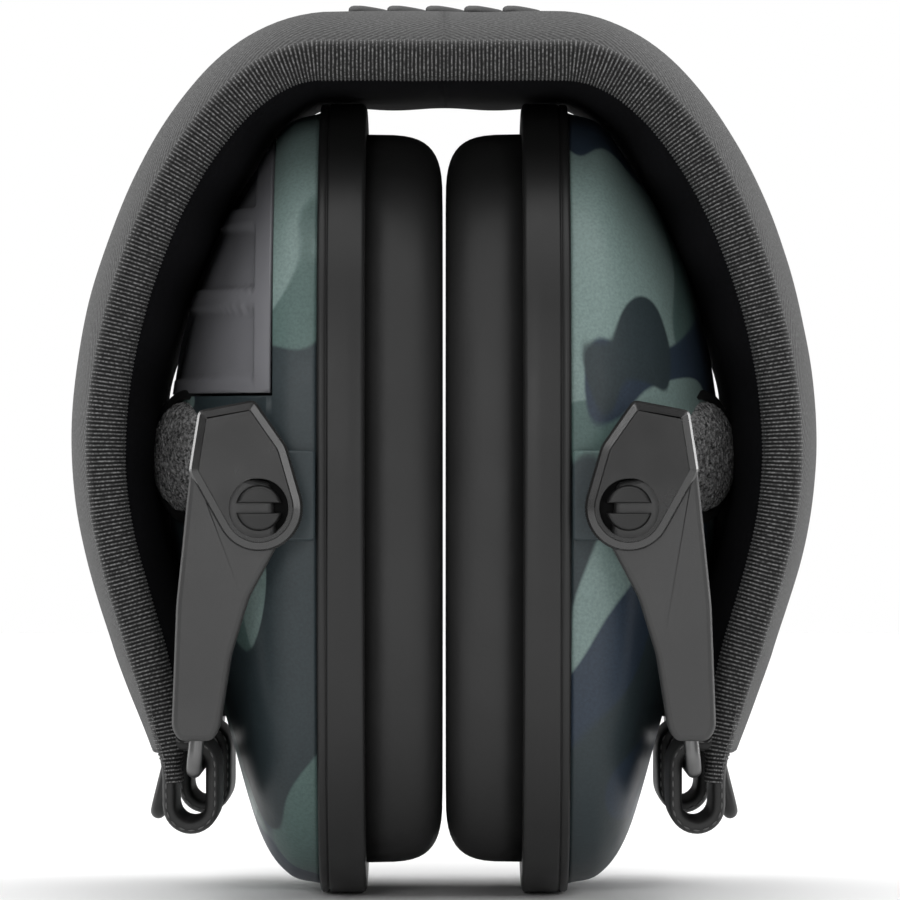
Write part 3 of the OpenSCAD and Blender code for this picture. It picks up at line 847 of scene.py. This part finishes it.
def make_cover():
    """Battery cover: the shell's own surface with three pairs of sunken panels."""
    verts, faces = rings_to_mesh(dome_rings(around=320, count=150))
    cover = add_piece("cover_frames", verts, without_base(faces), "cover", side=-1)
    tidy_normals(cover)
    bm = bmesh.new()
    bm.from_mesh(cover.data)
    edge_x, edge_z = -(BAY_X + BAY_GAP) * MM, (BAY_Z + BAY_GAP) * MM
    cut_plane(bm, (edge_x, 0, 0), (-1, 0, 0), clear_inner=True)
    cut_plane(bm, (0, 0, edge_z), (0, 0, 1), clear_inner=True)
    bm.normal_update()
    moves = []
    for v in bm.verts:
        x, y, z = -v.co.x / MM, abs(v.co.y) / MM, v.co.z / MM
        depth = 0.0
        for low, high in PANELS:
            inside = min(z - low, high - z, (x - PANEL_INNER_X) * 0.8, y - 1.6)
            depth = max(depth, min(1.0, max(0.0, inside / 0.5)))
        smooth = depth * depth * (3 - 2 * depth)
        moves.append(v.normal * (-PANEL_DEPTH * smooth * MM))
    for v, move in zip(bm.verts, moves):
        v.co += move
    bm.to_mesh(cover.data)
    bm.free()
    thicken(cover, 1.2)
    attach(cover, "cup_left")
    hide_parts("battery_cover")


def make_bay_floor():
    """Near-black floor behind the gap round the battery cover, painted shade for the gap."""
    verts, faces = rings_to_mesh(dome_rings(shrink=1.7, around=96, count=30))
    floor = tidy_normals(add_piece("bay_floor", verts, without_base(faces), "dark", "cup_left", side=-1))


def ring_piece(name, profile, outer, inner, paint, body, side, around=160):
    """A closed ring: profile is (share from outer to inner outline, x) pairs."""
    out, inn = oval(*outer, around), oval(*inner, around)
    rings = []
    for share, x in profile:
        edge = out + (inn - out) * share
        rings.append([(x, y, MID_Z + z) for y, z in edge])
    rings.append(rings[0])
    verts, faces = rings_to_mesh(rings, close_ends=False)
    piece = add_piece(name, verts, faces, paint, side=side)
    bm = bmesh.new()
    bm.from_mesh(piece.data)
    bmesh.ops.remove_doubles(bm, verts=bm.verts, dist=1e-7)
    bmesh.ops.recalc_face_normals(bm, faces=bm.faces)
    bm.to_mesh(piece.data)
    bm.free()
    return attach(piece, body)


def make_plate(label, side):
    """Ear plate with rounded rims and a fine groove where the shell's lip begins."""
    lip = 1.25
    profile = [
        (1.0, PLATE_X), (0.5, PLATE_X), (0.06, PLATE_X), (0.025, PLATE_X + 0.05), (0.007, PLATE_X + 0.25),
        (0.0, PLATE_X + 0.6), (0.0, PLATE_X + 2.4),
        (0.0, SHELL_X - lip - 0.35), (0.001, SHELL_X - lip - 0.12),
        (0.012, SHELL_X - lip - 0.08), (0.014, SHELL_X - lip + 0.08), (0.004, SHELL_X - lip + 0.14),
        (0.004, SHELL_X - 0.35), (0.012, SHELL_X - 0.1), (0.04, SHELL_X), (0.5, SHELL_X), (1.0, SHELL_X),
    ]
    plate = ring_piece("rim_" + label, profile, PLATE_HALF, OPENING_HALF, "plate", "cup_" + label, side)
    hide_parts("ear_plate_" + label)


def make_cushion(label, side):
    """Foam-filled ring with a soft crowned face, creased a little near the seams."""
    thick = PLATE_X - CUSHION_X
    profile = []
    for a in np.radians(np.linspace(0, 180, 27)):
        share = 0.5 - 0.5 * spow(math.cos(a), 0.62)
        profile.append((share, PLATE_X - thick * 0.995 * abs(math.sin(a)) ** 0.5))
    profile += [(0.96, PLATE_X - 0.02), (0.04, PLATE_X - 0.02)]
    cushion = ring_piece("cushion_skin_" + label, profile, CUSHION_HALF, OPENING_HALF, "cushion",
                         "cup_" + label, side, 200)
    for v in cushion.data.vertices:
        x, y, z = abs(v.co.x) / MM, v.co.y / MM, v.co.z / MM - MID_Z
        turn = math.atan2(z / CUSHION_HALF[1], y / CUSHION_HALF[0])
        near_seam = max(0.0, (x - 6.0) / 4.3)
        along_seam = Vector((math.cos(turn) * 16, math.sin(turn) * 16, side * 3.0))
        crease = 0.16 * near_seam * noise.noise(along_seam)
        sag = 0.10 * noise.noise(Vector((y / 9, z / 9, side * 7.0)))
        pull = 1 + (crease + sag) / 40
        v.co.y *= pull
        v.co.z = (z * pull + MID_Z) * MM
    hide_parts("cushion_" + label)


def make_mesh_cloth(label, side):
    """Thin cloth stretched over the ear opening, hardly crowned."""
    low, high = node_mm("mesh_cloth_" + label)
    face = min(abs(low[0]), abs(high[0]))
    half = (high[1], (high[2] - low[2]) / 2)
    verts, faces = [(face + 0.1, 0, MID_Z)], []
    around, rings = 96, 10
    for k in range(1, rings + 1):
        share = k / rings
        for y, z in oval(half[0] * share, half[1] * share, around):
            verts.append((face + 0.12 * (1 - share ** 2), y, MID_Z + z))
    for j in range(around):
        faces.append((0, 1 + j, 1 + (j + 1) % around))
        for k in range(rings - 1):
            a = 1 + k * around
            faces.append((a + j, a + around + j, a + around + (j + 1) % around, a + (j + 1) % around))
    cloth = add_piece("ear_mesh_" + label, verts, faces, "mesh", "cup_" + label, side=side)
    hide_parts("mesh_cloth_" + label)


# ---------------------------------------------------------------- microphones

MIC_AT = Vector((33.4, -19.6, 59.4))
MIC_TURN = math.radians(-32)


def on_mic(points):
    """Points drawn round Z, turned so that Z looks outwards and to the front."""
    turn = Matrix.Rotation(MIC_TURN, 3, "Z") @ Matrix.Rotation(math.radians(90), 3, "Y")
    return [tuple(MIC_AT + turn @ Vector(p)) for p in points]


def lathe(profile, around):
    rings = []
    for radius, height in profile:
        rings.append([(radius * math.cos(a), radius * math.sin(a), height)
                      for a in np.linspace(0, 2 * math.pi, around, endpoint=False)])
    return rings_to_mesh(rings)


def make_microphone(label, side):
    """Coarse foam dome in a plain ring."""
    dome = [(7.3, -2.0), (7.35, 1.2), (7.1, 2.2), (6.5, 2.9), (5.4, 3.5), (4.0, 3.9), (2.4, 4.1), (0.8, 4.2)]
    radii, heights = zip(*dome)
    rows = range(len(dome))
    fine = [(np.interp(s, rows, radii), np.interp(s, rows, heights)) for s in np.linspace(0, rows[-1], 40)]
    verts, faces = lathe(fine, 96)
    verts = wobble(wobble(on_mic(verts), 0.55, 0.16, side), 1.1, 0.14, side + 5.0)
    screen = tidy_normals(add_piece("foam_screen_" + label, verts, faces, "foam", "cup_" + label, side=side))
    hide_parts("windscreen_" + label)
    bezel = [(7.5, -3.0), (7.5, 1.3), (7.7, 1.7), (8.2, 1.8), (8.8, 1.4), (9.1, 0.6), (9.2, -3.0)]
    verts, faces = lathe(bezel, 96)
    ring = add_piece("mic_bezel_" + label, on_mic(verts), faces[:-2], "plate", "cup_" + label, side=side)
    tidy_normals(ring)


# ---------------------------------------------------------------- yoke arms and pivot pins

PIVOT = np.array([24.1, 52.7])
ARM_BACK, ARM_FRONT = abs(node_mm("arm_right_rear")[0][1]), abs(node_mm("arm_right_rear")[1][1])
SHANK_R = 2.4
CAP_R = 3.8
BOSS_R = 5.7


def arc(centre, radius, start, end, count):
    return [tuple(centre + radius * np.array([math.cos(a), math.sin(a)]))
            for a in np.radians(np.linspace(start, end, count))]


def rounded(points, radius, count=5):
    """A closed outline with its corners rounded."""
    pts = [np.array(p, float) for p in points]
    out = []
    for i, p in enumerate(pts):
        before, after = pts[i - 1] - p, pts[(i + 1) % len(pts)] - p
        cut = min(radius, 0.45 * np.linalg.norm(before), 0.45 * np.linalg.norm(after))
        a, b = p + before / np.linalg.norm(before) * cut, p + after / np.linalg.norm(after) * cut
        for t in np.linspace(0, 1, count):
            out.append(tuple((1 - t) ** 2 * a + 2 * t * (1 - t) * p + t * t * b))
    return out


def inset(points, amount):
    """Outline moved inwards by amount; the outline runs clockwise or anticlockwise."""
    pts = np.array(points)
    area = 0.5 * np.sum(pts[:, 0] * np.roll(pts[:, 1], -1) - np.roll(pts[:, 0], -1) * pts[:, 1])
    slope = np.roll(pts, -1, axis=0) - np.roll(pts, 1, axis=0)
    slope /= np.linalg.norm(slope, axis=1)[:, None]
    inward = np.stack([-slope[:, 1], slope[:, 0]], axis=1) * (1 if area > 0 else -1)
    return pts + inward * np.asarray(amount).reshape(-1, 1)


def block(name, layers, hole, paint, body, side, front, bevel):
    """A plate built from outlines at growing depth, with a round recess in its face."""
    bm = bmesh.new()
    loops = []
    for outline, y in layers:
        loops.append([bm.verts.new((side * x * MM, front * y * MM, z * MM)) for x, z in outline])
    count = len(loops[0])
    for lower, upper in zip(loops[:-1], loops[1:]):
        for j in range(count):
            bm.faces.new((lower[j], lower[(j + 1) % count], upper[(j + 1) % count], upper[j]))
    bm.faces.new(loops[0])
    face_y = layers[-1][1]
    if hole:
        radius, floor_y = hole
        circle = arc(PIVOT, radius, 0, 360, 65)[:-1]
        rim = [bm.verts.new((side * x * MM, front * face_y * MM, z * MM)) for x, z in circle]
        floor = [bm.verts.new((side * x * MM, front * floor_y * MM, z * MM)) for x, z in circle]
        edges = []
        for loop in (loops[-1], rim):
            for j in range(len(loop)):
                pair = (loop[j], loop[(j + 1) % len(loop)])
                edges.append(bm.edges.get(pair) or bm.edges.new(pair))
        bmesh.ops.triangle_fill(bm, edges=edges, use_beauty=True)
        for j in range(len(rim)):
            k = (j + 1) % len(rim)
            bm.faces.new((rim[j], rim[k], floor[k], floor[j]))
        bm.faces.new(floor)
    else:
        bm.faces.new(loops[-1])
    bmesh.ops.recalc_face_normals(bm, faces=bm.faces)
    mesh = bpy.data.meshes.new(name)
    bm.to_mesh(mesh)
    bm.free()
    mesh.materials.append(PAINT[paint])
    piece = bpy.data.objects.new(name, mesh)
    bpy.context.scene.collection.objects.link(piece)
    soften(piece, bevel)
    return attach(piece, body)


def hull_outline(points):
    """Convex outline round the points, anticlockwise."""
    pts = sorted(set((float(x), float(z)) for x, z in points))
    chains = []
    for run in (pts, pts[::-1]):
        chain = []
        for p in run:
            while len(chain) > 1 and ((chain[-1][0] - chain[-2][0]) * (p[1] - chain[-2][1])
                                      - (chain[-1][1] - chain[-2][1]) * (p[0] - chain[-2][0])) <= 1e-9:
                chain.pop()
            chain.append(p)
        chains.append(chain[:-1])
    return chains[0] + chains[1]


# Outlines of an arm's textured foot and its glossy head, in X and Z
FOOT = [(33.05, 58.2), (34.9, 40), (35.5, 24), (34.5, 22.3), (30.2, 22.3), (29.2, 24), (27.7, 33.5),
        (25.4, 41), (21.7, 47.9), (22.5, 56)]
HEAD_CORNERS = [(20.5, 60.8), (24.7, 66.8), (32.0, 65.4), (33.25, 57.4)]


def make_arm(label, side, edge, front):
    body = "arms_" + label
    foot = rounded(FOOT, 0.9)
    surface = ARM_FRONT - 0.9
    layers = [(foot, ARM_BACK), (foot, surface - 0.6), (inset(foot, 0.3), surface - 0.15),
              (inset(foot, 0.75), surface)]
    lower = block(f"arm_{label}_{edge}_foot", layers, None, "textured", body, side, front, 0.15)
    corners = hull_outline(HEAD_CORNERS + arc(PIVOT, BOSS_R, 0, 360, 73)[:-1])
    head = hull_outline(rounded(corners, 0.7))
    layers = [(head, ARM_BACK), (head, ARM_FRONT - 1.0), (inset(head, 0.3), ARM_FRONT - 0.55),
              (inset(head, 1.15), ARM_FRONT - 0.35), (inset(head, 1.3), ARM_FRONT)]
    recess = (CAP_R + 0.12, ARM_FRONT - 2.4)
    upper = block(f"arm_{label}_{edge}_head", layers, recess, "gloss", body, side, front, 0.12)
    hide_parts(f"arm_{label}_{edge}")


def half_cap(name, label, side, front, up):
    """One half of a slotted pivot cap, domed, with a rounded edge."""
    slot_half, radius, rows, across = 0.65, 3.0, 18, 25
    verts, faces = [], []
    for h in np.linspace(slot_half, radius * 0.999, rows):
        width = math.sqrt(max(radius ** 2 - h ** 2, 0.0))
        for t in np.linspace(-1, 1, across):
            x = width * t
            rho = math.hypot(x, h) / radius
            edge = min(1.0, (1 - rho) / 0.16 + 0.02, (h - slot_half) / 0.35 + 0.25)
            rise = math.sqrt(max(0.0, 1 - (1 - edge) ** 2))
            y = ARM_FRONT - 0.75 + rise * (0.85 - 0.12 * rho ** 2)
            verts.append((PIVOT[0] + x, front * y, PIVOT[1] + up * h))
    for i in range(rows - 1):
        for j in range(across - 1):
            a = i * across + j
            faces.append((a, a + 1, a + across + 1, a + across))
    first = len(verts)
    verts += [(v[0], front * (ARM_FRONT - 2.35), v[2]) for v in verts]
    border = list(range(across))
    border += [i * across + across - 1 for i in range(1, rows)]
    border += [(rows - 1) * across + j for j in range(across - 2, -1, -1)]
    border += [i * across for i in range(rows - 2, 0, -1)]
    for a, b in zip(border, border[1:] + border[:1]):
        faces.append((a, b, b + first, a + first))
    piece = tidy_normals(add_piece(name, verts, faces, "plate", "cup_" + label, side=side))


def make_shank(label, side, edge, front):
    """Near-black floor under a pivot cap, whose black also paints the shade of the deep groove round it, and
    the shank that carries the arm.
    """
    under_cap = ARM_FRONT - 2.75
    profile = [(SHANK_R, ARM_BACK - 1.5), (SHANK_R, under_cap), (CAP_R, under_cap), (CAP_R, ARM_FRONT - 2.3)]
    rings = [[(PIVOT[0] + r * math.cos(a), front * y, PIVOT[1] + r * math.sin(a))
              for a in np.linspace(0, 2 * math.pi, 48, endpoint=False)] for r, y in profile]
    verts, faces = rings_to_mesh(rings)
    shank = add_piece(f"pin_{label}_{edge}", verts, faces, "dark", "cup_" + label, side=side, smooth=False)
    tidy_normals(shank)
    if front < 0:
        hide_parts("pivot_pins_" + label)


def make_yokes():
    for label, side in SIDES:
        for edge, front in (("front", -1), ("rear", 1)):
            make_arm(label, side, edge, front)
            make_shank(label, side, edge, front)
            for word, up in (("upper", 1), ("lower", -1)):
                half_cap(f"cap_{label}_{edge}_{word}", label, side, front, up)


def make_pivot_pads():
    """Raised flat pads on the shell round each pivot, under the arms."""
    near = SHELL_X + 0.15
    corners = [(near, 48.4), (27.5, 48.4), (28.6, 51.5), (28.6, 57.5), (27.0, 60.2), (near, 60.2)]
    outline = rounded(corners, 0.6)
    for label, side in SIDES:
        for edge, front in (("front", -1), ("rear", 1)):
            layers = [(outline, 30.0), (outline, 38.1), (inset(outline, 0.25), 38.35)]
            pad = block(f"pivot_pad_{label}_{edge}", layers, None, "camo", "cup_" + label, side, front, 0.1)


def finish_cad_nodes():
    """Materials for the CAD nodes that stay as they are."""
    looks = {
        "wire_bail": "steel", "spring_strip": "spring", "plate_screws": "zinc",
        "speaker": "dark", "microphone": "nickel", "cushion_plate": "plate", "foam_liner": "liner",
        "lead_slack": "cable", "battery_tray": "knob", "aaa_cells": "cell", "battery_contacts": "nickel",
        "main_board": "board", "potentiometer": "knob", "volume_knob": "knob", "audio_jack": "plate",
    }
    for name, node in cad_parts.items():
        for start, key in looks.items():
            if name.startswith(start):
                node.data.materials.clear()
                node.data.materials.append(PAINT[key])


def make_floor():
    bpy.ops.mesh.primitive_plane_add(size=2.6)
    floor = bpy.context.object
    floor.name = "floor"
    paper = Paint("studio_paper", 0.85)
    paper.colour(paper.mix(paper.noise(3, 3), grey(0.88), grey(0.92)))
    floor.data.materials.append(paper.material)


make_headband()
make_straps()
for cup_label, cup_side in SIDES:
    make_shell(cup_label, cup_side)
    make_plate(cup_label, cup_side)
    make_cushion(cup_label, cup_side)
    make_mesh_cloth(cup_label, cup_side)
    make_microphone(cup_label, cup_side)
make_cover()
make_bay_floor()
make_yokes()
make_pivot_pads()
finish_cad_nodes()
make_floor()
